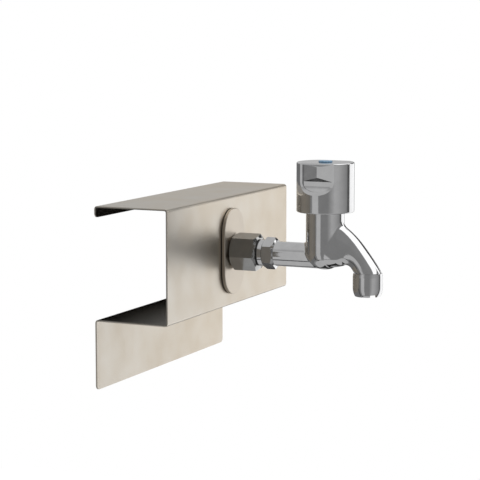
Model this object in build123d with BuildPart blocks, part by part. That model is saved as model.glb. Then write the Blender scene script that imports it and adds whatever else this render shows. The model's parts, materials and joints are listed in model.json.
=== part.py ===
from build123d import *

import os
from math import ceil, cos, hypot, radians, sin, tan

# Lengths are millimetres and angles degrees. The wall is the plane Y = 0 and the tap points
# along -Y. X runs along the bracket. The origin is the middle of the wall flange's back.
# A reach is a distance from the wall, a height is counted from the axis of the inlet.

os.makedirs("parts", exist_ok=True)

# Bracket, one folded sheet
bracket_length = 255.0
plate_height = 100.0
bracket_depth = 70.0
flange_height = 60.0
lip_height = 10.0
sheet = 1.5
inner_bend = 1.5
free_corner = 4.0

# Fits. Screw threads are plain cylinders, a thread clearance apart
thread_clearance = 0.05
running_clearance = 0.05
seat_clearance = 0.02
hole_clearance = 0.3
blind_hole_spare = 1.5
overcut = 1.0
edge_tolerance = 0.01

# Cover plate and gasket on the front plate
cover_width = 42.0
cover_height = 78.0
cover_thickness = 2.8
cover_edge = 0.7
gasket_thickness = 0.8
gasket_inset = 1.2

# Connector: the large hexagon, its tail through the plate and what holds it behind
connector_flats = 30.0
connector_length = 25.4
connector_turn = 11.0
connector_chamfer = 1.0
connector_bore = 7.0
tail_radius = 10.48
tail_free_length = 15.0
tail_chamfer = 1.0
tail_relief = 1.0
tail_relief_depth = 0.6
lock_washer_inner = 10.8
lock_washer_rim = 13.6
lock_washer_radius = 16.0
lock_washer_thickness = 1.2
lock_teeth = 12
lock_tooth_width = 3.0
back_nut_flats = 30.0
back_nut_thickness = 8.0
back_nut_chamfer = 0.4
chamfer_angle = 30.0

# Tap body: inlet screw, collar and hexagon, pipe, tower
inlet_screw_radius = 10.2
inlet_screw_length = 12.0
seal_thickness = 1.3
seal_radius = 11.6
body_collar_radius = 12.0
body_collar_length = 3.9
body_flats = 25.2
body_hexagon_length = 11.2
body_hexagon_turn = 30.0
body_hexagon_chamfer = 0.6
pipe_radius = 11.1
pipe_length = 46.0
waterway_radius = 7.0
tower_radius = 17.0
tower_height = 42.3
tower_drop = 11.5
tower_round = 16.2
pipe_fillet = 4.0

# Spout
spout_reach = 40.4
mouth_drop = 12.0
mouth_radius = 12.0
mouth_turn_radius = 21.8
spout_waist_turns = (45.0, 20.0)
spout_waist_radius = 10.7
spout_waist_half_width = 11.3
spout_shoulder_turn = 70.0
spout_shoulder_radius = 13.2
spout_shoulder_half_width = 12.0
spout_shoulder_sag = 2.0
spout_root_turn = 90.0
spout_root_radius = 17.2
spout_root_half_width = 13.2
spout_root_sag = 6.0
spout_heel_radius = 21.6
spout_heel_half_width = 16.6
spout_heel_sag = 6.0
spout_heel_reach = 2.0
spout_heel_lift = 1.0
spout_inside_root = 5.0
spout_inside_mouth = 8.7
spout_fillet = 8.0
spout_bore_radius = 6.5
spout_bore_height = 18.0
spout_bore_bend = 14.0
spout_bore_elbow = 3.0
mouth_screw_radius = 11.2
mouth_screw_length = 8.2

# Valve seat and headwork
seat_height = 12.0
seat_bore = 5.5
seat_radius = 8.2
seat_lip_radius = 6.8
seat_lip = 2.5
seat_depth = 4.0
seat_set = 2.0
bonnet_screw_radius = 12.5
bonnet_screw_length = 12.0
bonnet_skirt_radius = 11.0
bonnet_flats = 26.0
bonnet_flange = 6.0
bonnet_neck_radius = 8.0
bonnet_neck = 4.0
bonnet_bearing = 12.0
bonnet_seal_thickness = 1.0
bonnet_seal_width = 3.0
spindle_radius = 4.5
collar_radius = 6.5
collar_thickness = 2.0
thrust_washer_thickness = 0.8
lift = 4.5
lift_screw_radius = 3.5
lift_screw_length = 11.7
o_ring_section = 1.6
o_ring_groove_depth = 1.2
o_ring_pitch = 4.0
circlip_thickness = 1.0
circlip_radius = 6.6
circlip_groove_depth = 0.6
circlip_opening = 5.0
drive_length = 11.0
drive_teeth = 16
drive_tip_radius = 4.15
drive_root_radius = 3.7
carrier_flats = 14.6
carrier_flange_radius = 8.0
carrier_flange = 2.5
carrier_gap = 0.7
valve_washer_radius = 7.2
valve_washer_thickness = 3.0
small_screw_radius = 2.0
small_screw_head_radius = 3.7
small_screw_head = 1.6
washer_screw_length = 4.5

# Knob
knob_radius = 25.5
knob_height = 44.0
knob_edge = 1.2
knob_overlap = 2.5
knob_skirt_bore = 20.5
knob_skirt_depth = 10.5
knob_neck_bore = 12.0
knob_web = 3.0
scoop_flat = 19.9
scoop_start = 15.2
scoop_radius = 17.0
scoop_sweep = 80.0
lid_thickness = 1.3
pocket_half_width = 13.8
pocket_back = 18.2
pocket_straight = 15.5
pocket_arch = 8.1
pocket_ramp_start = 14.8
pocket_ramp_radius = 12.0
pocket_ramp_sweep = 70.0
ridge_top = 2.0
ridge_length = 9.3
ridge_width = 0.8
ridge_set = 0.2
knob_screw_length = 11.0
knob_screw_head = 2.4
index_radius = 6.2
index_proud = 1.2
index_depth = 1.6
index_stem_radius = 5.2
index_stem = 5.0
index_edge = 0.6

# Outlet ring and its insert
ring_gap = 0.5
ring_length = 20.3
ring_top_radius = 12.7
ring_radius = 13.1
ring_foot_radius = 11.2
ring_shoulder = 3.0
ring_straight = 9.5
ring_lip = 2.0
ring_mouth_radius = 9.6
ring_notch_width = 6.0
ring_notch_depth = 2.6
ring_notch_turn = 226.0
outlet_washer_thickness = 1.5
outlet_washer_bore = 8.0
screen_thickness = 0.8
screen_pitch = 3.0
screen_hole = 1.9
straightener_rim = 1.6
straightener_pitch = 3.7
straightener_wall = 0.6

# Places that follow from the sizes
tap_z = flange_height / 2 + plate_height / 2
plate_top = flange_height / 2 + plate_height
cover_reach = bracket_depth + gasket_thickness
connector_reach = cover_reach + cover_thickness
connector_end = connector_reach + connector_length
body_reach = connector_end + seal_thickness
hexagon_reach = body_reach + body_collar_length
pipe_reach = hexagon_reach + body_hexagon_length
tower_reach = pipe_reach + pipe_length
outlet_reach = tower_reach + spout_reach
tail_length = (
    cover_thickness
    + gasket_thickness
    + sheet
    + lock_washer_thickness
    + back_nut_thickness
    + tail_free_length
)

bonnet_base = tower_height + bonnet_seal_thickness
neck_top = bonnet_base + bonnet_flange + bonnet_neck
shoulder = neck_top - bonnet_bearing
collar_top = shoulder - thrust_washer_thickness - seat_clearance
collar_bottom = collar_top - collar_thickness
spindle_bottom = collar_bottom - lift_screw_length
carrier_base = seat_height + valve_washer_thickness
carrier_hexagon_base = carrier_base + carrier_flange
carrier_top = collar_bottom - lift - carrier_gap
carrier_bore_bottom = spindle_bottom - lift - carrier_gap
bonnet_bottom = carrier_hexagon_base + lift + carrier_gap
carrier_socket_flats = carrier_flats + 4 * running_clearance
chamber_floor = seat_height - seat_depth
circlip_base = neck_top + running_clearance
drive_base = circlip_base + circlip_thickness + carrier_gap
spindle_top = drive_base + drive_length

knob_base = tower_height - knob_overlap
knob_top = knob_base + knob_height
socket_roof = spindle_top + seat_clearance
screw_seat = socket_roof + knob_web
index_floor = knob_top - index_depth
lid_height = knob_top - lid_thickness

ring_top = -mouth_drop - ring_gap
ring_bottom = ring_top - ring_length
mouth_screw_bottom = -mouth_drop - mouth_screw_length
screen_top = mouth_screw_bottom - outlet_washer_thickness
straightener_top = screen_top - screen_thickness
straightener_bottom = ring_bottom + ring_lip
insert_radius = mouth_screw_radius - thread_clearance


def across(reach, height=0.0):
    """A plane square to the inlet's axis; its normal points away from the wall."""
    return Plane(origin=(0, -reach, tap_z + height), x_dir=(1, 0, 0), z_dir=(0, -1, 0))


def level(reach, height=0.0):
    """A level plane on an upright axis at some reach."""
    return Plane(origin=(0, -reach, tap_z + height))


def outline_plane(plane):
    """The plane through another plane's axis, where x is a radius and y runs along the axis."""
    return Plane(origin=plane.origin, x_dir=plane.x_dir, z_dir=-plane.y_dir)


def turn(plane, *corners, mode=Mode.ADD):
    """Turns a closed outline of (radius, distance) corners about a plane's axis."""
    with BuildSketch(outline_plane(plane)) as outline:
        with BuildLine():
            Polyline(*corners, close=True)
        make_face()
    revolve(outline.sketch, axis=Axis(plane.origin, plane.z_dir), mode=mode)


def bar(plane, radius, start, end, mode=Mode.ADD):
    """A round bar or hole about a plane's axis, between two distances along it."""
    with BuildSketch(plane.offset(start)) as outline:
        Circle(radius)
    extrude(outline.sketch, amount=end - start, mode=mode)


def corner_radius_of(flats):
    """The distance from a hexagon's middle to its corners."""
    return flats / 2 / cos(radians(30))


def hexagon_bar(plane, flats, length, turned_by, chamfer):
    """A hexagon bar; the chamfer is its depth at the middle of a flat, at both ends."""
    corner = corner_radius_of(flats)
    slope = tan(radians(chamfer_angle))
    face = flats / 2 - chamfer / slope
    fall = (corner - face) * slope
    with BuildPart() as blank:
        with BuildSketch(plane):
            RegularPolygon(flats / 2, 6, major_radius=False, rotation=turned_by)
        extrude(amount=length)
        turn(
            plane,
            (0, 0),
            (face, 0),
            (corner, fall),
            (corner, length - fall),
            (face, length),
            (0, length),
            mode=Mode.INTERSECT,
        )
    return blank.part


def serration(plane, grow=0.0):
    """The toothed outline of the knob's drive, grown all round for the socket."""
    with BuildSketch(plane) as outline:
        with BuildLine():
            points = []
            for step in range(2 * drive_teeth):
                radius = drive_root_radius if step % 2 else drive_tip_radius
                angle = radians(step * 180 / drive_teeth)
                points.append(((radius + grow) * cos(angle), (radius + grow) * sin(angle)))
            Polyline(*points, close=True)
        make_face()
    return outline.sketch


inlet_axis = across(0.0)
tower_axis = level(tower_reach)
outlet_axis = level(outlet_reach)

# Bracket: lip, top, front plate, return and wall flange folded from one strip
with BuildPart() as bracket:
    with BuildSketch(Plane.YZ):
        with BuildLine() as fold:
            FilletPolyline(
                (0, plate_top - lip_height),
                (0, plate_top),
                (-bracket_depth, plate_top),
                (-bracket_depth, flange_height / 2),
                (-sheet, flange_height / 2),
                (-sheet, -flange_height / 2),
                radius=[inner_bend + sheet] * 3 + [inner_bend],
            )
            offset(amount=sheet, side=Side.LEFT)
        make_face()
    extrude(amount=bracket_length / 2, both=True)
    sheet_corners = bracket.edges().filter_by(Axis.Y).filter_by(lambda e: e.length < 2 * sheet)
    fillet(sheet_corners.group_by(Axis.Z)[0], radius=free_corner)
    lip_corners = bracket.edges().filter_by(Axis.Y).filter_by(lambda e: e.length < 2 * sheet)
    fillet(lip_corners.group_by(Axis.Z)[-1], radius=free_corner)
    bar(
        across(bracket_depth),
        tail_radius + hole_clearance,
        -2 * sheet,
        sheet,
        mode=Mode.SUBTRACT,
    )
bracket.part.label = "bracket"

# Cover plate, an upright obround with a rounded front edge
with BuildPart() as oval_plate:
    with BuildSketch(across(cover_reach)):
        SlotOverall(cover_height, cover_width, rotation=90)
        Circle(tail_radius + hole_clearance, mode=Mode.SUBTRACT)
    extrude(amount=cover_thickness)
    front_face = oval_plate.faces().sort_by(Axis.Y)[0]
    fillet(front_face.outer_wire().edges(), radius=cover_edge)
oval_plate.part.label = "oval_plate"

# Gasket under the cover plate
with BuildPart() as oval_gasket:
    with BuildSketch(across(bracket_depth)):
        SlotOverall(
            cover_height - 2 * gasket_inset,
            cover_width - 2 * gasket_inset,
            rotation=90,
        )
        Circle(tail_radius + hole_clearance, mode=Mode.SUBTRACT)
    extrude(amount=gasket_thickness)
oval_gasket.part.label = "oval_gasket"

# Connector: hexagon in front of the plate, screwed tail behind it
socket_radius = inlet_screw_radius + thread_clearance
tail_end = connector_reach - tail_length
relief_end = tail_end + tail_free_length
relief_radius = tail_radius - tail_relief_depth
with BuildPart() as connector:
    add(
        hexagon_bar(
            across(connector_reach),
            connector_flats,
            connector_length,
            connector_turn,
            connector_chamfer,
        )
    )
    turn(
        inlet_axis,
        (0, tail_end),
        (tail_radius - tail_chamfer, tail_end),
        (tail_radius, tail_end + tail_chamfer),
        (tail_radius, relief_end - tail_relief),
        (relief_radius, relief_end - tail_relief),
        (relief_radius, relief_end),
        (tail_radius, relief_end),
        (tail_radius, connector_reach),
        (0, connector_reach),
    )
    bar(inlet_axis, connector_bore, tail_end, connector_end, mode=Mode.SUBTRACT)
    bar(
        inlet_axis,
        socket_radius,
        connector_end - inlet_screw_length - blind_hole_spare,
        connector_end,
        mode=Mode.SUBTRACT,
    )
connector.part.label = "connector"

# Toothed washer behind the front plate
with BuildPart() as lock_washer:
    with BuildSketch(across(bracket_depth - sheet - lock_washer_thickness)):
        Circle(lock_washer_rim)
        with PolarLocations(lock_washer_rim, lock_teeth):
            Rectangle(2 * (lock_washer_radius - lock_washer_rim), lock_tooth_width)
        Circle(lock_washer_inner, mode=Mode.SUBTRACT)
    extrude(amount=lock_washer_thickness)
lock_washer.part.label = "lock_washer"

# Nut behind the toothed washer
back_nut_reach = bracket_depth - sheet - lock_washer_thickness - back_nut_thickness
with BuildPart() as back_nut:
    add(
        hexagon_bar(
            across(back_nut_reach),
            back_nut_flats,
            back_nut_thickness,
            body_hexagon_turn,
            back_nut_chamfer,
        )
    )
    bar(
        inlet_axis,
        tail_radius + thread_clearance,
        back_nut_reach,
        back_nut_reach + back_nut_thickness,
        mode=Mode.SUBTRACT,
    )
back_nut.part.label = "back_nut"

# Black sealing ring in the groove between the two hexagons
with BuildPart() as inlet_seal:
    bar(inlet_axis, seal_radius, connector_end, body_reach)
    bar(inlet_axis, socket_radius, connector_end, body_reach, mode=Mode.SUBTRACT)
inlet_seal.part.label = "inlet_seal"


def spout_plane(angle, distance):
    """A section plane of the spout, swung about a point under its bend."""
    pivot_reach = outlet_reach - mouth_turn_radius
    y = -(pivot_reach + distance * cos(radians(angle)))
    z = tap_z - mouth_drop + distance * sin(radians(angle))
    down_stream = (0, -sin(radians(angle)), -cos(radians(angle)))
    return Plane(origin=(0, y, z), x_dir=(1, 0, 0), z_dir=down_stream)


def spout_inside(angle):
    """The distance from that point to the spout's under side; it grows towards the mouth."""
    share = angle / spout_root_turn
    return spout_inside_mouth + (spout_inside_root - spout_inside_mouth) * share


def oval(plane, half_width, half_height, sag=0.0):
    """A spout section of two half ellipses, its widest level a sag below its middle."""
    with BuildSketch(plane) as section:
        with BuildLine():
            for start, height in ((0, half_height + sag), (180, half_height - sag)):
                EllipticalCenterArc(
                    (0, -sag), half_width, height, start_angle=start, arc_size=180
                )
        make_face()
    return section.sketch


# Spout: lofted through the heel inside the tower, the root, shoulder, waist and mouth
with BuildPart() as spout:
    heel_height = spout_heel_radius - tower_drop + spout_heel_lift
    heel_plane = across(tower_reach + spout_heel_reach, heel_height)
    sections = [oval(heel_plane, spout_heel_half_width, spout_heel_radius, spout_heel_sag)]
    for angle, half_width, half_height, sag in (
        (spout_root_turn, spout_root_half_width, spout_root_radius, spout_root_sag),
        (spout_shoulder_turn, spout_shoulder_half_width, spout_shoulder_radius, spout_shoulder_sag),
        (spout_waist_turns[0], spout_waist_half_width, spout_waist_radius, 0.0),
        (spout_waist_turns[1], spout_waist_half_width, spout_waist_radius, 0.0),
    ):
        middle = spout_inside(angle) + half_height
        sections.append(oval(spout_plane(angle, middle), half_width, half_height, sag))
    sections.append(oval(spout_plane(0, mouth_turn_radius), mouth_radius, mouth_radius))
    loft(sections)

# Waterway of the spout, a bent round passage from the chamber to the mouth
with BuildPart() as spout_waterway:
    with BuildLine() as passage:
        FilletPolyline(
            (0, -(tower_reach + spout_heel_reach), tap_z + spout_bore_height),
            (0, -outlet_reach, tap_z - mouth_drop + spout_bore_elbow),
            (0, -outlet_reach, tap_z + mouth_screw_bottom - overcut),
            radius=spout_bore_bend,
        )
    with BuildSketch(Plane(origin=passage.line @ 0, z_dir=passage.line % 0)):
        Circle(spout_bore_radius)
    sweep()

def on_tower(edge):
    """Whether an edge lies on the tower's wall or foot."""
    spots = (edge @ 0, edge @ 0.5, edge @ 1)
    return all(hypot(spot.X, spot.Y + tower_reach) < tower_radius + edge_tolerance for spot in spots)


# Tap body: one casting with its screwed inlet, collar, hexagon, pipe, tower and spout
chamber_radius = bonnet_screw_radius + thread_clearance
with BuildPart() as tap_body:
    turn(
        tower_axis,
        (0, -tower_drop),
        (tower_radius, -tower_drop),
        (tower_radius, tower_height),
        (0, tower_height),
    )
    fillet(
        tap_body.edges().filter_by(GeomType.CIRCLE).sort_by(Axis.Z)[0],
        radius=tower_round,
    )
    bar(inlet_axis, pipe_radius, pipe_reach, tower_reach)
    fillet(tap_body.edges().filter_by(GeomType.BSPLINE), radius=pipe_fillet)
    add(spout.part)
    root_edges = tap_body.edges(Select.LAST).filter_by(GeomType.BSPLINE).filter_by(on_tower)
    fillet(root_edges, radius=spout_fillet)
    bar(outlet_axis, mouth_screw_radius, mouth_screw_bottom, -mouth_drop)
    add(
        hexagon_bar(
            across(hexagon_reach),
            body_flats,
            body_hexagon_length,
            body_hexagon_turn,
            body_hexagon_chamfer,
        )
    )
    bar(inlet_axis, body_collar_radius, body_reach, hexagon_reach)
    bar(inlet_axis, inlet_screw_radius, connector_end - inlet_screw_length, body_reach)
    bar(
        inlet_axis,
        waterway_radius,
        connector_end - inlet_screw_length,
        tower_reach,
        mode=Mode.SUBTRACT,
    )
    bar(tower_axis, seat_bore, 0.0, chamber_floor, mode=Mode.SUBTRACT)
    bar(
        tower_axis,
        seat_radius + seat_clearance,
        chamber_floor - seat_set,
        chamber_floor,
        mode=Mode.SUBTRACT,
    )
    bar(tower_axis, chamber_radius, chamber_floor, tower_height, mode=Mode.SUBTRACT)
    add(spout_waterway.part, mode=Mode.SUBTRACT)
tap_body.part.label = "tap_body"

# Seat ring that the valve washer closes on
with BuildPart() as valve_seat:
    turn(
        tower_axis,
        (seat_bore, chamber_floor - seat_set),
        (seat_radius, chamber_floor - seat_set),
        (seat_radius, seat_height - seat_lip),
        (seat_lip_radius, seat_height),
        (seat_bore, seat_height),
    )
valve_seat.part.label = "valve_seat"

# Bonnet: closes the tower, carries the spindle and guides the valve
with BuildPart() as bonnet:
    with BuildSketch(level(tower_reach, bonnet_base)):
        RegularPolygon(bonnet_flats / 2, 6, major_radius=False)
    extrude(amount=bonnet_flange)
    bar(tower_axis, bonnet_neck_radius, bonnet_base, neck_top)
    bar(tower_axis, bonnet_screw_radius, tower_height - bonnet_screw_length, bonnet_base)
    bar(tower_axis, bonnet_skirt_radius, bonnet_bottom, tower_height)
    with BuildSketch(level(tower_reach, bonnet_bottom)):
        RegularPolygon(carrier_socket_flats / 2, 6, major_radius=False)
    extrude(amount=shoulder - bonnet_bottom, mode=Mode.SUBTRACT)
    bar(
        tower_axis,
        spindle_radius + running_clearance,
        shoulder,
        neck_top,
        mode=Mode.SUBTRACT,
    )
bonnet.part.label = "bonnet"

# Washer between the tower's rim and the bonnet's flange
with BuildPart() as bonnet_seal:
    turn(
        tower_axis,
        (chamber_radius, tower_height),
        (chamber_radius + bonnet_seal_width, tower_height),
        (chamber_radius + bonnet_seal_width, bonnet_base),
        (chamber_radius, bonnet_base),
    )
bonnet_seal.part.label = "bonnet_seal"

# Spindle: lifting screw, collar, sealed shaft and serrated drive
groove_radius = spindle_radius - o_ring_groove_depth
first_groove = shoulder + (bonnet_bearing - o_ring_pitch) / 2
circlip_groove_radius = spindle_radius - circlip_groove_depth
with BuildPart() as spindle:
    bar(tower_axis, lift_screw_radius, spindle_bottom, collar_bottom)
    bar(tower_axis, collar_radius, collar_bottom, collar_top)
    bar(tower_axis, spindle_radius, collar_top, drive_base)
    extrude(serration(level(tower_reach, drive_base)), amount=drive_length)
    for middle in (first_groove, first_groove + o_ring_pitch):
        turn(
            tower_axis,
            (groove_radius, middle - o_ring_section / 2),
            (2 * spindle_radius, middle - o_ring_section / 2),
            (2 * spindle_radius, middle + o_ring_section / 2),
            (groove_radius, middle + o_ring_section / 2),
            mode=Mode.SUBTRACT,
        )
    turn(
        tower_axis,
        (circlip_groove_radius, circlip_base),
        (2 * spindle_radius, circlip_base),
        (2 * spindle_radius, circlip_base + circlip_thickness),
        (circlip_groove_radius, circlip_base + circlip_thickness),
        mode=Mode.SUBTRACT,
    )
    bar(
        tower_axis,
        small_screw_radius + thread_clearance,
        screw_seat - knob_screw_length - blind_hole_spare,
        spindle_top,
        mode=Mode.SUBTRACT,
    )
spindle.part.label = "spindle"

# Two sealing rings in the spindle's grooves
o_ring_outer = spindle_radius + running_clearance / 2
with BuildPart() as spindle_o_rings:
    for middle in (first_groove, first_groove + o_ring_pitch):
        half = o_ring_section / 2 - seat_clearance
        turn(
            tower_axis,
            (groove_radius + seat_clearance, middle - half),
            (o_ring_outer, middle - half),
            (o_ring_outer, middle + half),
            (groove_radius + seat_clearance, middle + half),
        )
spindle_o_rings.part.label = "spindle_o_rings"

# Slippery washer between the spindle's collar and the bonnet
with BuildPart() as thrust_washer:
    turn(
        tower_axis,
        (spindle_radius + running_clearance, collar_top),
        (collar_radius, collar_top),
        (collar_radius, collar_top + thrust_washer_thickness),
        (spindle_radius + running_clearance, collar_top + thrust_washer_thickness),
    )
thrust_washer.part.label = "thrust_washer"

# Open spring clip in the spindle's groove, over the bonnet's neck
with BuildPart() as circlip:
    turn(
        tower_axis,
        (circlip_groove_radius + seat_clearance, circlip_base),
        (circlip_radius, circlip_base),
        (circlip_radius, circlip_base + circlip_thickness - seat_clearance),
        (circlip_groove_radius + seat_clearance, circlip_base + circlip_thickness - seat_clearance),
    )
    with BuildSketch(level(tower_reach, circlip_base)):
        with Locations((0, circlip_radius)):
            Rectangle(circlip_opening, 2 * circlip_radius)
    extrude(amount=circlip_thickness, mode=Mode.SUBTRACT)
circlip.part.label = "circlip"

# Valve carrier: a hexagon that cannot turn in the bonnet, so the spindle's screw lifts it
with BuildPart() as valve_carrier:
    bar(tower_axis, carrier_flange_radius, carrier_base, carrier_hexagon_base)
    with BuildSketch(level(tower_reach, carrier_hexagon_base)):
        RegularPolygon(carrier_flats / 2, 6, major_radius=False)
    extrude(amount=carrier_top - carrier_hexagon_base)
    bar(
        tower_axis,
        lift_screw_radius + running_clearance,
        carrier_bore_bottom,
        carrier_top,
        mode=Mode.SUBTRACT,
    )
    bar(
        tower_axis,
        small_screw_radius + thread_clearance,
        carrier_base,
        carrier_base + washer_screw_length + seat_clearance,
        mode=Mode.SUBTRACT,
    )
valve_carrier.part.label = "valve_carrier"

# Rubber valve washer
with BuildPart() as valve_washer:
    turn(
        tower_axis,
        (small_screw_radius + thread_clearance, seat_height + seat_clearance),
        (valve_washer_radius, seat_height + seat_clearance),
        (valve_washer_radius, carrier_base),
        (small_screw_radius + thread_clearance, carrier_base),
    )
valve_washer.part.label = "valve_washer"

# Screw that holds the washer under the carrier
washer_screw_seat = seat_height + seat_clearance
with BuildPart() as washer_screw:
    bar(
        tower_axis,
        small_screw_head_radius,
        washer_screw_seat - small_screw_head,
        washer_screw_seat,
    )
    bar(
        tower_axis,
        small_screw_radius,
        washer_screw_seat - small_screw_head,
        carrier_base + washer_screw_length,
    )
    with BuildSketch(level(tower_reach, washer_screw_seat - small_screw_head)):
        Rectangle(2 * small_screw_head_radius, small_screw_head / 2)
    extrude(amount=small_screw_head / 2, mode=Mode.SUBTRACT)
washer_screw.part.label = "washer_screw"

# Tool shape of one scooped side of the knob: a flat that runs out in a hollow curve
scoop_turn_height = knob_top - scoop_start
with BuildPart() as knob_scoop:
    with BuildSketch(outline_plane(tower_axis)):
        with BuildLine():
            beyond = 2 * knob_radius
            top = knob_top + knob_edge
            scoop_middle = (scoop_flat + scoop_radius, scoop_turn_height)
            Line((scoop_flat, top), (scoop_flat, scoop_turn_height))
            hollow = CenterArc(scoop_middle, scoop_radius, 180, scoop_sweep)
            Polyline(hollow @ 1, (beyond, (hollow @ 1).Y), (beyond, top), (scoop_flat, top))
        make_face()
    extrude(amount=knob_radius, both=True)

def beside(distance, height):
    """An upright plane square to the bracket, at a distance from the knob's axis."""
    return Plane(origin=(distance, -tower_reach, tap_z + height), x_dir=(0, 1, 0), z_dir=(1, 0, 0))


# Tool shape of the finger pocket in that flat: shield outline, hollow ramp at the foot
with BuildPart() as finger_pocket:
    with BuildSketch(beside(0, lid_height)):
        with BuildLine():
            Polyline(
                (-pocket_half_width, -pocket_straight),
                (-pocket_half_width, 0),
                (pocket_half_width, 0),
                (pocket_half_width, -pocket_straight),
            )
            EllipticalCenterArc(
                (0, -pocket_straight),
                pocket_half_width,
                pocket_arch,
                start_angle=180,
                arc_size=180,
            )
        make_face()
    extrude(amount=knob_radius)
    with BuildSketch(outline_plane(tower_axis)):
        with BuildLine():
            ramp_height = lid_height - pocket_ramp_start
            ramp_middle = (pocket_back + pocket_ramp_radius, ramp_height)
            Line((pocket_back, lid_height), (pocket_back, ramp_height))
            ramp = CenterArc(ramp_middle, pocket_ramp_radius, 180, pocket_ramp_sweep)
            Polyline(
                ramp @ 1,
                (2 * knob_radius, (ramp @ 1).Y),
                (2 * knob_radius, lid_height),
                (pocket_back, lid_height),
            )
        make_face()
    extrude(amount=knob_radius, both=True, mode=Mode.INTERSECT)

# Low four-sided roof inside the pocket, its upright ridge almost level with the flat
with BuildPart() as pocket_roof:
    roof_middle = lid_height - pocket_ramp_start / 2
    with BuildSketch(beside(pocket_back, roof_middle)):
        Rectangle(2 * pocket_half_width, pocket_ramp_start)
    ridge_middle = lid_height - ridge_top - ridge_length / 2
    with BuildSketch(beside(scoop_flat - ridge_set, ridge_middle)):
        Rectangle(ridge_width, ridge_length)
    loft()

# Knob: a thick cylinder with two finger recesses, hollow below for the bonnet
with BuildPart() as knob:
    bar(tower_axis, knob_radius, knob_base, knob_top)
    fillet(knob.edges().filter_by(GeomType.CIRCLE), radius=knob_edge)
    add(knob_scoop.part, mode=Mode.SUBTRACT)
    add(knob_scoop.part.mirror(Plane.YZ), mode=Mode.SUBTRACT)
    add(finger_pocket.part, mode=Mode.SUBTRACT)
    add(finger_pocket.part.mirror(Plane.YZ), mode=Mode.SUBTRACT)
    add(pocket_roof.part)
    add(pocket_roof.part.mirror(Plane.YZ))
    bar(tower_axis, knob_skirt_bore, knob_base, knob_base + knob_skirt_depth, mode=Mode.SUBTRACT)
    bar(tower_axis, knob_neck_bore, knob_base, drive_base, mode=Mode.SUBTRACT)
    extrude(
        serration(level(tower_reach, drive_base), grow=running_clearance),
        amount=socket_roof - drive_base,
        mode=Mode.SUBTRACT,
    )
    bar(
        tower_axis,
        small_screw_radius + hole_clearance,
        socket_roof,
        knob_top,
        mode=Mode.SUBTRACT,
    )
    bar(tower_axis, index_stem_radius + seat_clearance, screw_seat, knob_top, mode=Mode.SUBTRACT)
    bar(tower_axis, index_radius + seat_clearance, index_floor, knob_top, mode=Mode.SUBTRACT)
knob.part.label = "knob"

# Screw under the index cap, down into the spindle
with BuildPart() as knob_screw:
    bar(tower_axis, small_screw_head_radius, screw_seat, screw_seat + knob_screw_head)
    bar(tower_axis, small_screw_radius, screw_seat - knob_screw_length, screw_seat)
    with BuildSketch(level(tower_reach, screw_seat + knob_screw_head)):
        Rectangle(small_screw_head_radius, small_screw_radius / 2)
        Rectangle(small_screw_radius / 2, small_screw_head_radius)
    extrude(amount=-knob_screw_head / 2, mode=Mode.SUBTRACT)
knob_screw.part.label = "knob_screw"

# Blue index cap with a stem that plugs the screw's well
with BuildPart() as index_cap:
    bar(tower_axis, index_radius, index_floor, knob_top + index_proud)
    chamfer(
        index_cap.edges().filter_by(GeomType.CIRCLE).sort_by(Axis.Z)[-1],
        length=index_edge,
    )
    bar(tower_axis, index_stem_radius, index_floor - index_stem, index_floor)
index_cap.part.label = "index_cap"

# Outlet ring: barrel outside, screwed to the mouth, with two key notches in its foot
with BuildPart() as outlet_ring:
    with BuildSketch(outline_plane(outlet_axis)):
        with BuildLine():
            shoulder_height = ring_top - ring_shoulder
            belly_height = shoulder_height - ring_straight
            inner = mouth_screw_radius + thread_clearance
            Polyline(
                (inner, ring_top),
                (ring_top_radius, ring_top),
                (ring_radius, shoulder_height),
                (ring_radius, belly_height),
            )
            TangentArc(
                (ring_radius, belly_height),
                (ring_foot_radius, ring_bottom),
                tangent=(0, -1),
            )
            Polyline(
                (ring_foot_radius, ring_bottom),
                (ring_mouth_radius, ring_bottom),
                (ring_mouth_radius, straightener_bottom),
                (inner, straightener_bottom),
                (inner, ring_top),
            )
        make_face()
    revolve(axis=Axis(outlet_axis.origin, outlet_axis.z_dir))
    with BuildSketch(level(outlet_reach, ring_bottom)):
        with Locations(Rotation(0, 0, ring_notch_turn)):
            Rectangle(4 * ring_radius, ring_notch_width)
    extrude(amount=ring_notch_depth, mode=Mode.SUBTRACT)
outlet_ring.part.label = "outlet_ring"

# Washer between the mouth and the insert
with BuildPart() as outlet_washer:
    turn(
        outlet_axis,
        (outlet_washer_bore, screen_top),
        (insert_radius, screen_top),
        (insert_radius, mouth_screw_bottom),
        (outlet_washer_bore, mouth_screw_bottom),
    )
outlet_washer.part.label = "outlet_washer"


def inside_disc(locations, radius):
    """The places that lie within a radius of the middle."""
    return [place for place in locations if place.position.length < radius]


# Strainer screen: a disc with a grid of square holes
with BuildPart() as outlet_screen:
    bar(outlet_axis, insert_radius, straightener_top, screen_top)
    screen_count = 2 * ceil(insert_radius / screen_pitch) + 1
    with BuildSketch(level(outlet_reach, straightener_top)):
        screen_grid = GridLocations(screen_pitch, screen_pitch, screen_count, screen_count)
        with Locations(inside_disc(screen_grid.local_locations, outlet_washer_bore)):
            Rectangle(screen_hole, screen_hole)
    extrude(amount=screen_thickness, mode=Mode.SUBTRACT)
outlet_screen.part.label = "outlet_screen"

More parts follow.
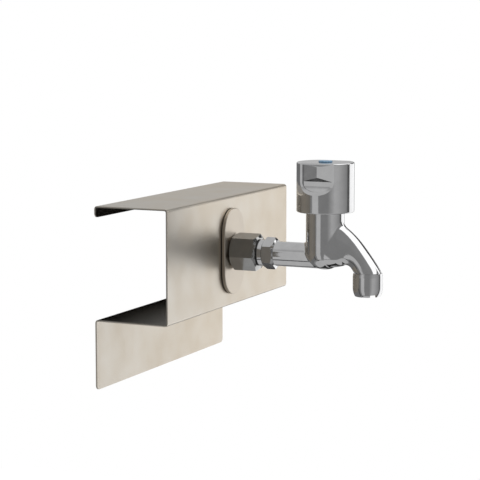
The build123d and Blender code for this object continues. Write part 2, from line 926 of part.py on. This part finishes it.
# Flow straightener: a cup-shaped plug of hexagonal channels
with BuildPart() as flow_straightener:
    bar(outlet_axis, insert_radius, straightener_bottom, straightener_top)
    cell_count = 2 * ceil(insert_radius / straightener_pitch) + 1
    cell_flats = straightener_pitch - straightener_wall
    with BuildSketch(level(outlet_reach, straightener_bottom)):
        cells = HexLocations(straightener_pitch / 2, cell_count, cell_count)
        cell_room = insert_radius - straightener_rim - corner_radius_of(cell_flats)
        with Locations(inside_disc(cells.local_locations, cell_room)):
            RegularPolygon(cell_flats / 2, 6, major_radius=False)
    extrude(amount=straightener_top - straightener_bottom, mode=Mode.SUBTRACT)
flow_straightener.part.label = "flow_straightener"

pieces = [
    bracket,
    oval_plate,
    oval_gasket,
    connector,
    lock_washer,
    back_nut,
    inlet_seal,
    tap_body,
    valve_seat,
    bonnet,
    bonnet_seal,
    spindle,
    spindle_o_rings,
    thrust_washer,
    circlip,
    valve_carrier,
    valve_washer,
    washer_screw,
    knob,
    knob_screw,
    index_cap,
    outlet_ring,
    outlet_washer,
    outlet_screen,
    flow_straightener,
]
for piece in pieces:
    export_step(piece.part, f"parts/{piece.part.label}.step")
    print(piece.part.label, round(piece.part.volume))
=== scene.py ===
import json
from math import ceil, cos, radians, sin, tau

import bmesh
import bpy
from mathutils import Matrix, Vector


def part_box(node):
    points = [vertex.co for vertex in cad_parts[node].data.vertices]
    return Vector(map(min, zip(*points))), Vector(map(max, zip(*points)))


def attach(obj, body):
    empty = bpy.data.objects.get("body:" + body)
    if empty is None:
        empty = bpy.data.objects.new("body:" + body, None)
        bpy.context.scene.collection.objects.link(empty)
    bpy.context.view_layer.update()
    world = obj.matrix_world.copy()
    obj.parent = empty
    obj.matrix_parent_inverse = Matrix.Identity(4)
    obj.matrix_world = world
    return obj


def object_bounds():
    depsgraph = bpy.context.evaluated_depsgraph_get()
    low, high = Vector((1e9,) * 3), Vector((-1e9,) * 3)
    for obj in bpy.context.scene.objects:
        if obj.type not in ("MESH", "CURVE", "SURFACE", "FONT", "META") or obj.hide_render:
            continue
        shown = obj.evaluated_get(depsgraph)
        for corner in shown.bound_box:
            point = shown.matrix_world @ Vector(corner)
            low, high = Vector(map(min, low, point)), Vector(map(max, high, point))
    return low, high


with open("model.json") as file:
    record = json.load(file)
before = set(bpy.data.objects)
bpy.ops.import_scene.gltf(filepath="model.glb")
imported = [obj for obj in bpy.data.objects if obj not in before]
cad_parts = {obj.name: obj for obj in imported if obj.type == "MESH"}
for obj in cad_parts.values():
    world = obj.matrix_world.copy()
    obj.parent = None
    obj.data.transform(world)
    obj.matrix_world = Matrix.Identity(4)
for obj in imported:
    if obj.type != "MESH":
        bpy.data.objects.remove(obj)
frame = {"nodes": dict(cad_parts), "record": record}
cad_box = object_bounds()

# Metres. The wall is the plane Y = 0, X runs along the bracket, the tap points along -Y.
nodes = frame["nodes"]
scene = bpy.context.scene

# Camera, solved from the bracket's corners in the photograph
camera_place = Vector((-1.433, -0.733, 0.287))
camera_aim = Vector((0.9026, 0.4121, -0.1239))
camera_lens = 131.8
camera_sensor = 36.0

# Floor
floor_drop = 0.25
floor_width = 0.9
floor_tone = 0.5
floor_lift = 0.7

# Overhead lamp
lamp_place = Vector((-0.2, -0.4, 1.6))
lamp_aim = Vector((0, -0.1, 0.05))
lamp_width = 2.4
lamp_power = 30.0

# Unlit foot of the wall behind the bracket's channel, and a dark card over its far end
wall_gap = 0.003
wall_beyond = 0.15
wall_tone = 0.02
channel_low = 0.03
wall_high = 0.075

# The channel's inner faces, between these depths and heights, keep a share of the outer colour,
# a painted shade inside the channel
inner_shade_low = (-0.0692, 0.0308)
inner_shade_high = (-0.0008, 0.1292)
inner_shade_share = 0.4

# Screw thread on the free end of the connector's tail, which the CAD leaves plain. Over its
# first and last part of a turn the ridge rises from a low start.
thread_pitch = 0.001814
thread_root = 0.01038
thread_height = 0.00042
thread_half_width = 0.00065
thread_run_out = 0.0016
thread_steps = 48
thread_rise_steps = 12
thread_low_start = 0.1

# What the chrome mirrors: tones by degrees to the right of the direction to the camera, at eye
# level, in the dim strip over it, overhead, in a dark gap low down and towards the floor
eye_level = [
    (-180, 0.46),
    (-176, 0.46),
    (-173, 0.04),
    (-166, 0.04),
    (-160, 0.2),
    (-85, 0.2),
    (-78, 0.1),
    (-71, 0.1),
    (-68, 0.26),
    (-58, 0.26),
    (-56, 0.6),
    (-32, 0.6),
    (-30, 0.27),
    (8, 0.27),
    (35, 0.53),
    (50, 0.5),
    (80, 0.36),
    (92, 0.3),
    (97, 0.12),
    (106, 0.1),
    (112, 1.38),
    (150, 1.38),
    (158, 1.0),
    (162, 0.04),
    (173, 0.04),
    (176, 0.46),
    (180, 0.46),
]
dim_strip = [
    (-180, 0.68),
    (-165, 0.68),
    (-150, 0.6),
    (-45, 0.6),
    (-36, 0.27),
    (60, 0.3),
    (90, 0.3),
    (98, 0.1),
    (106, 0.1),
    (112, 1.7),
    (124, 1.7),
    (130, 0.06),
    (158, 0.06),
    (166, 0.68),
    (180, 0.68),
]
overhead = [
    (-180, 0.6),
    (-60, 0.6),
    (-45, 0.3),
    (46, 0.3),
    (54, 1.7),
    (126, 1.7),
    (140, 0.8),
    (180, 0.8),
]
low_gap = [
    (-180, 0.3),
    (-66, 0.3),
    (-64, 0.02),
    (-53, 0.02),
    (-51, 0.3),
    (180, 0.3),
]
floor_light = [
    (-180, 0.02),
    (-166, 0.02),
    (-160, 0.58),
    (158, 0.58),
    (164, 0.02),
    (180, 0.02),
]
# Where each of these takes over from the ones before, by (sine of the elevation + 1) / 2
dim_strip_height = [(0.52, 0.0), (0.6, 1.0)]
overhead_height = [(0.73, 0.0), (0.77, 1.0)]
low_gap_height = [(0.108, 0.0), (0.111, 1.0), (0.137, 1.0), (0.14, 0.0)]
floor_light_height = [(0.1, 1.0), (0.11, 0.0)]

# Studio paint
paint_roughness = 0.9
white = (1, 1, 1, 1)

# The noise's dark and light parts, and its fineness
noise_range = (0.3, 0.7)
noise_detail = 4.0

# How far the grain of a finish is drawn out along X, Y and Z
even = (1, 1, 1)
along_bracket = (30, 1, 1)
round_upright = (1, 1, 12)

# Finishes by the record's material slots: two colours, the least and greatest roughness, the
# frequency of the patches, a relief of (frequency, stretch, depth), and how metallic it is
finish_values = {
    "satin_steel": dict(
        tones=[(0.545, 0.51, 0.455), (0.565, 0.5, 0.41)],
        roughness=(0.34, 0.42),
        patches=30.0,
        relief=(900.0, along_bracket, 0.00004),
        metallic=1.0,
        # Painted change of tone along X, standing in for how the light on the steel changes
        # along the bracket
        painted_light_along_x=(-0.14, 0.1, 0.3),
        # Painted shade on the channel's inner faces
        painted_shade=(inner_shade_low, inner_shade_high, inner_shade_share),
    ),
    "cover_steel": dict(
        tones=[(0.51, 0.455, 0.385), (0.55, 0.495, 0.425)],
        roughness=(0.34, 0.42),
        patches=60.0,
        relief=(1100.0, along_bracket, 0.00003),
        metallic=1.0,
    ),
    "chrome": dict(
        tones=[(0.6, 0.6, 0.605), (0.66, 0.66, 0.665)],
        roughness=(0.06, 0.1),
        patches=120.0,
        relief=(260.0, even, 0.00002),
        metallic=1.0,
    ),
    # A shaded copy of the chrome, its colour cut: painted shade standing in for the dim
    # surroundings the connector mirrors
    "dark_chrome": dict(
        tones=[(0.33, 0.33, 0.325), (0.38, 0.38, 0.375)],
        roughness=(0.08, 0.13),
        patches=120.0,
        relief=(260.0, even, 0.00002),
        metallic=1.0,
    ),
    "brass": dict(
        tones=[(0.62, 0.45, 0.2), (0.76, 0.58, 0.28)],
        roughness=(0.2, 0.34),
        patches=150.0,
        relief=(900.0, round_upright, 0.00003),
        metallic=1.0,
    ),
    "spring_steel": dict(
        tones=[(0.36, 0.36, 0.37), (0.5, 0.5, 0.51)],
        roughness=(0.28, 0.42),
        patches=200.0,
        relief=(1200.0, even, 0.00003),
        metallic=1.0,
    ),
    "seat_steel": dict(
        tones=[(0.52, 0.52, 0.52), (0.64, 0.64, 0.63)],
        roughness=(0.22, 0.34),
        patches=200.0,
        relief=(1200.0, even, 0.00002),
        metallic=1.0,
    ),
    "screw_steel": dict(
        tones=[(0.5, 0.5, 0.5), (0.62, 0.62, 0.61)],
        roughness=(0.25, 0.36),
        patches=260.0,
        relief=(1500.0, even, 0.00002),
        metallic=1.0,
    ),
    "rubber": dict(
        tones=[(0.018, 0.018, 0.018), (0.035, 0.035, 0.034)],
        roughness=(0.55, 0.75),
        patches=180.0,
        relief=(1400.0, even, 0.00004),
    ),
    "fibre": dict(
        tones=[(0.36, 0.08, 0.05), (0.5, 0.14, 0.09)],
        roughness=(0.7, 0.85),
        patches=400.0,
        relief=(1800.0, even, 0.00006),
    ),
    "white_plastic": dict(
        tones=[(0.8, 0.8, 0.77), (0.87, 0.87, 0.85)],
        roughness=(0.35, 0.5),
        patches=120.0,
        relief=(900.0, even, 0.00002),
    ),
    "blue_plastic": dict(
        tones=[(0.1, 0.19, 0.29), (0.14, 0.25, 0.36)],
        roughness=(0.18, 0.3),
        patches=200.0,
        relief=(1000.0, even, 0.00002),
    ),
}


def node_tree(owner):
    """An empty node tree on a material or a world."""
    owner.use_nodes = True
    owner.node_tree.nodes.clear()
    return owner.node_tree


def add_node(tree, kind, **settings):
    """A node with the given settings and, by name, input values."""
    node = tree.nodes.new(kind)
    for name, value in settings.items():
        if hasattr(node, name):
            setattr(node, name, value)
        else:
            node.inputs[name.replace("_", " ")].default_value = value
    return node


def feed(tree, socket, value):
    """Gives an input its value, or links it to another node's output."""
    if isinstance(value, bpy.types.NodeSocket):
        tree.links.new(value, socket)
    else:
        socket.default_value = value


def math_node(tree, operation, *values):
    """A math node whose inputs are sockets or numbers; returns its output."""
    node = add_node(tree, "ShaderNodeMath", operation=operation)
    for socket, value in zip(node.inputs, values):
        feed(tree, socket, value)
    return node.outputs[0]


def facing(tree, direction, vector):
    """How much the looked-at direction agrees with a fixed one."""
    node = add_node(tree, "ShaderNodeVectorMath", operation="DOT_PRODUCT")
    feed(tree, node.inputs[0], direction)
    feed(tree, node.inputs[1], vector)
    return node.outputs["Value"]


def ramp(tree, factor, stops):
    """A colour ramp of (place, tone or colour) stops; returns its colour output."""
    node = tree.nodes.new("ShaderNodeValToRGB")
    tree.links.new(factor, node.inputs["Fac"])
    elements = node.color_ramp.elements
    while len(elements) < len(stops):
        elements.new(0.5)
    for element, (place, tone) in zip(elements, stops):
        element.position = place
        element.color = (tone, tone, tone, 1) if isinstance(tone, float) else (*tone, 1)
    return node.outputs["Color"]


def belt(tree, around, stops):
    """A ramp all the way round, its stops in degrees."""
    return ramp(tree, around, [(angle / 360 + 0.5, tone) for angle, tone in stops])


def mixed(tree, share, first, second, blend_type="MIX"):
    """The first colour turning into the second, or blended with it, by a share."""
    node = add_node(tree, "ShaderNodeMix", data_type="RGBA", blend_type=blend_type)
    # A colour mix has its two colours at inputs 6 and 7 and its result at output 2
    feed(tree, node.inputs["Factor"], share)
    feed(tree, node.inputs[6], first)
    feed(tree, node.inputs[7], second)
    return node.outputs[2]


def map_range(tree, value, start, end, low=0.0, high=1.0):
    """A value that runs from low to high as the given one goes from start to end."""
    node = add_node(
        tree, "ShaderNodeMapRange", From_Min=start, From_Max=end, To_Min=low, To_Max=high
    )
    tree.links.new(value, node.inputs["Value"])
    return node.outputs["Result"]


def studio_world():
    """White to the camera; to everything else a studio with a bright and a dim side."""
    world = bpy.data.worlds.new("studio")
    scene.world = world
    tree = node_tree(world)
    direction = tree.nodes.new("ShaderNodeTexCoord").outputs["Generated"]
    ahead = Vector((camera_aim.x, camera_aim.y, 0)).normalized()
    right = Vector((ahead.y, -ahead.x, 0))
    turn = math_node(
        tree, "ARCTAN2", facing(tree, direction, right), facing(tree, direction, -ahead)
    )
    around = math_node(tree, "MULTIPLY_ADD", turn, 0.5 / radians(180), 0.5)
    height = math_node(tree, "MULTIPLY_ADD", facing(tree, direction, (0, 0, 1)), 0.5, 0.5)
    colour = belt(tree, around, eye_level)
    zones = (
        (dim_strip, dim_strip_height),
        (overhead, overhead_height),
        (low_gap, low_gap_height),
        (floor_light, floor_light_height),
    )
    for stops, takeover in zones:
        share = ramp(tree, height, takeover)
        colour = mixed(tree, share, colour, belt(tree, around, stops))
    around_object = tree.nodes.new("ShaderNodeBackground")
    tree.links.new(colour, around_object.inputs["Color"])
    backdrop = add_node(tree, "ShaderNodeBackground", Color=white)
    seen = tree.nodes.new("ShaderNodeLightPath").outputs["Is Camera Ray"]
    choose = tree.nodes.new("ShaderNodeMixShader")
    tree.links.new(seen, choose.inputs["Fac"])
    tree.links.new(around_object.outputs[0], choose.inputs[1])
    tree.links.new(backdrop.outputs[0], choose.inputs[2])
    output = tree.nodes.new("ShaderNodeOutputWorld")
    tree.links.new(choose.outputs[0], output.inputs["Surface"])


def overhead_lamp():
    """A soft square lamp over the tap; neither the camera nor the chrome sees it."""
    lamp = bpy.data.lights.new("overhead", "AREA")
    lamp.shape = "RECTANGLE"
    lamp.size = lamp_width
    lamp.size_y = lamp_width
    lamp.energy = lamp_power
    box = bpy.data.objects.new("overhead", lamp)
    box.location = lamp_place
    box.rotation_euler = (lamp_aim - lamp_place).to_track_quat("-Z", "Y").to_euler()
    box.visible_camera = False
    box.visible_glossy = False
    scene.collection.objects.link(box)


def card(name, corners, material):
    """A flat four-cornered piece of the studio."""
    mesh = bpy.data.meshes.new(name)
    mesh.from_pydata(corners, [], [(0, 1, 2, 3)])
    mesh.materials.append(material)
    made = bpy.data.objects.new(name, mesh)
    scene.collection.objects.link(made)
    return made


def shown(tree, shader):
    """Puts a shader on the surface of its material."""
    output = tree.nodes.new("ShaderNodeOutputMaterial")
    tree.links.new(shader.outputs[0], output.inputs["Surface"])


def paint(name, tone, glow):
    """A matt studio paint that looks brighter to the camera by its glow."""
    made = bpy.data.materials.new(name)
    tree = node_tree(made)
    shader = add_node(
        tree,
        "ShaderNodeBsdfPrincipled",
        Base_Color=(tone, tone, tone, 1),
        Roughness=paint_roughness,
        Specular_IOR_Level=0.0,
        Emission_Color=white,
    )
    seen = tree.nodes.new("ShaderNodeLightPath").outputs["Is Camera Ray"]
    tree.links.new(math_node(tree, "MULTIPLY", seen, glow), shader.inputs["Emission Strength"])
    shown(tree, shader)
    return made


def pale_floor():
    """A pale floor below the bracket; it catches the shadow and looks white, unmirrored."""
    low = cad_box[0][2] - floor_drop
    half = floor_width / 2
    corners = [(-half, -half, low), (half, -half, low), (half, half, low), (-half, half, low)]
    card("floor", corners, paint("pale_floor", floor_tone, floor_lift)).visible_glossy = False


def dark_surroundings():
    """Dark cards at the wall and the channel's far end, mirrored in the steel.

    The camera doesn't see them.
    """
    low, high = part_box("bracket")
    near = low[0]
    far = high[0] + wall_beyond
    end = high[0] + wall_gap
    front = low[1] + wall_gap
    cards = {
        "wall": ((near, wall_gap), (far, wall_gap), wall_high),
        "far_end": ((end, front), (end, wall_gap), high[2]),
    }
    shade = paint("dark_wall", wall_tone, 0.0)
    for name, (first, second, top) in cards.items():
        corners = [(*first, channel_low), (*second, channel_low), (*second, top), (*first, top)]
        card(name, corners, shade).visible_camera = False


def grain(tree, frequency, stretch=even):
    """A noise value in the object's own frame; stretch divides its frequency along an axis."""
    coordinates = tree.nodes.new("ShaderNodeTexCoord").outputs["Object"]
    mapping = add_node(tree, "ShaderNodeMapping", Scale=[1 / share for share in stretch])
    tree.links.new(coordinates, mapping.inputs["Vector"])
    noise = add_node(tree, "ShaderNodeTexNoise", Scale=frequency, Detail=noise_detail)
    tree.links.new(mapping.outputs[0], noise.inputs["Vector"])
    return noise.outputs["Fac"]


def object_place(tree):
    """The place in the object's own frame, as outputs X, Y and Z."""
    place = tree.nodes.new("ShaderNodeSeparateXYZ")
    tree.links.new(tree.nodes.new("ShaderNodeTexCoord").outputs["Object"], place.inputs[0])
    return place.outputs


def painted_shade_within(tree, colour, low, high, share):
    """The colour, cut to a share of it between two corners of (y, z): painted shade."""
    place = object_place(tree)
    inside = [
        math_node(tree, "COMPARE", place[axis], (start + end) / 2, (end - start) / 2)
        for axis, start, end in zip("YZ", low, high)
    ]
    shade_tone = (share, share, share, 1)
    return mixed(tree, math_node(tree, "MULTIPLY", *inside), colour, shade_tone, "MULTIPLY")


def surface(name, tones, roughness, patches, relief, metallic=0.0, painted_light_along_x=None, painted_shade=None):
    """A material with drifting colour and roughness over a fine relief.

    Three values (low, high, share) for the tone along X let that share of the colour's drift
    follow the X axis: a painted change of tone, standing in for how the light on the steel
    changes along the bracket. Three values (low, high, share) for painted shade cut the colour
    to that share within the box of (y, z) they mark.
    """
    made = bpy.data.materials.new(name)
    tree = node_tree(made)
    shader = add_node(tree, "ShaderNodeBsdfPrincipled", Metallic=metallic)
    drift = grain(tree, patches)
    shade = drift
    # Painted change of tone along X, standing in for the light on the steel
    if painted_light_along_x:
        low, high, share = painted_light_along_x
        along = map_range(tree, object_place(tree)["X"], low, high)
        shade = math_node(tree, "MULTIPLY", drift, 1 - share)
        shade = math_node(tree, "MULTIPLY_ADD", along, share, shade)
    colour = ramp(tree, shade, list(zip(noise_range, tones)))
    # Painted shade: the colour cut to a share inside a box of (y, z)
    if painted_shade:
        colour = painted_shade_within(tree, colour, *painted_shade)
    tree.links.new(colour, shader.inputs["Base Color"])
    tree.links.new(map_range(tree, drift, *noise_range, *roughness), shader.inputs["Roughness"])
    frequency, stretch, depth = relief
    bump = add_node(tree, "ShaderNodeBump", Distance=depth)
    tree.links.new(grain(tree, frequency, stretch), bump.inputs["Height"])
    tree.links.new(bump.outputs["Normal"], shader.inputs["Normal"])
    shown(tree, shader)
    return made


def tail_thread():
    """A right-hand ridge round the tail, from behind the back nut to the tail's end."""
    low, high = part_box("back_nut")
    height = (low[2] + high[2]) / 2
    start = high[1] + thread_run_out
    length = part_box("connector")[1][1] - thread_run_out - start
    turns = length / thread_pitch
    steps = ceil(turns * thread_steps)
    points = []
    for step in range(steps + 1):
        rise = min(1.0, thread_low_start + min(step, steps - step) / thread_rise_steps)
        angle = tau * turns * step / steps
        place = start + length * step / steps
        profile = (
            (thread_root, -thread_half_width * rise),
            (thread_root + thread_height * rise, 0.0),
            (thread_root, thread_half_width * rise),
        )
        for radius, aside in profile:
            points.append((radius * sin(angle), place + aside, height + radius * cos(angle)))
    faces = [(0, 1, 2), (3 * steps, 3 * steps + 2, 3 * steps + 1)]
    for step in range(steps):
        for side in range(3):
            first = 3 * step + side
            second = 3 * step + (side + 1) % 3
            faces.append((first, first + 3, second + 3, second))
    mesh = bpy.data.meshes.new("tail_thread")
    mesh.from_pydata(points, [], faces)
    shape = bmesh.new()
    shape.from_mesh(mesh)
    bmesh.ops.recalc_face_normals(shape, faces=shape.faces)
    shape.to_mesh(mesh)
    shape.free()
    # The shaded copy of the chrome, painted darker as on the connector
    mesh.materials.append(finishes["dark_chrome"])
    ridge = bpy.data.objects.new("tail_thread", mesh)
    scene.collection.objects.link(ridge)
    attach(ridge, "root")


def photo_camera():
    """The camera at the photograph's angle."""
    view = bpy.data.cameras.new("view")
    view.lens = camera_lens
    view.sensor_width = camera_sensor
    camera = bpy.data.objects.new("view", view)
    camera.location = camera_place
    camera.rotation_euler = camera_aim.to_track_quat("-Z", "Y").to_euler()
    scene.collection.objects.link(camera)
    scene.camera = camera


finishes = {name: surface(name, **values) for name, values in finish_values.items()}
for piece in frame["record"]["subparts"]:
    part = nodes[piece["node"]]
    part.data.materials.clear()
    part.data.materials.append(finishes[piece["material_slot"]])

tail_thread()
studio_world()
pale_floor()
dark_surroundings()
overhead_lamp()
photo_camera()
scene.view_settings.view_transform = "Standard"
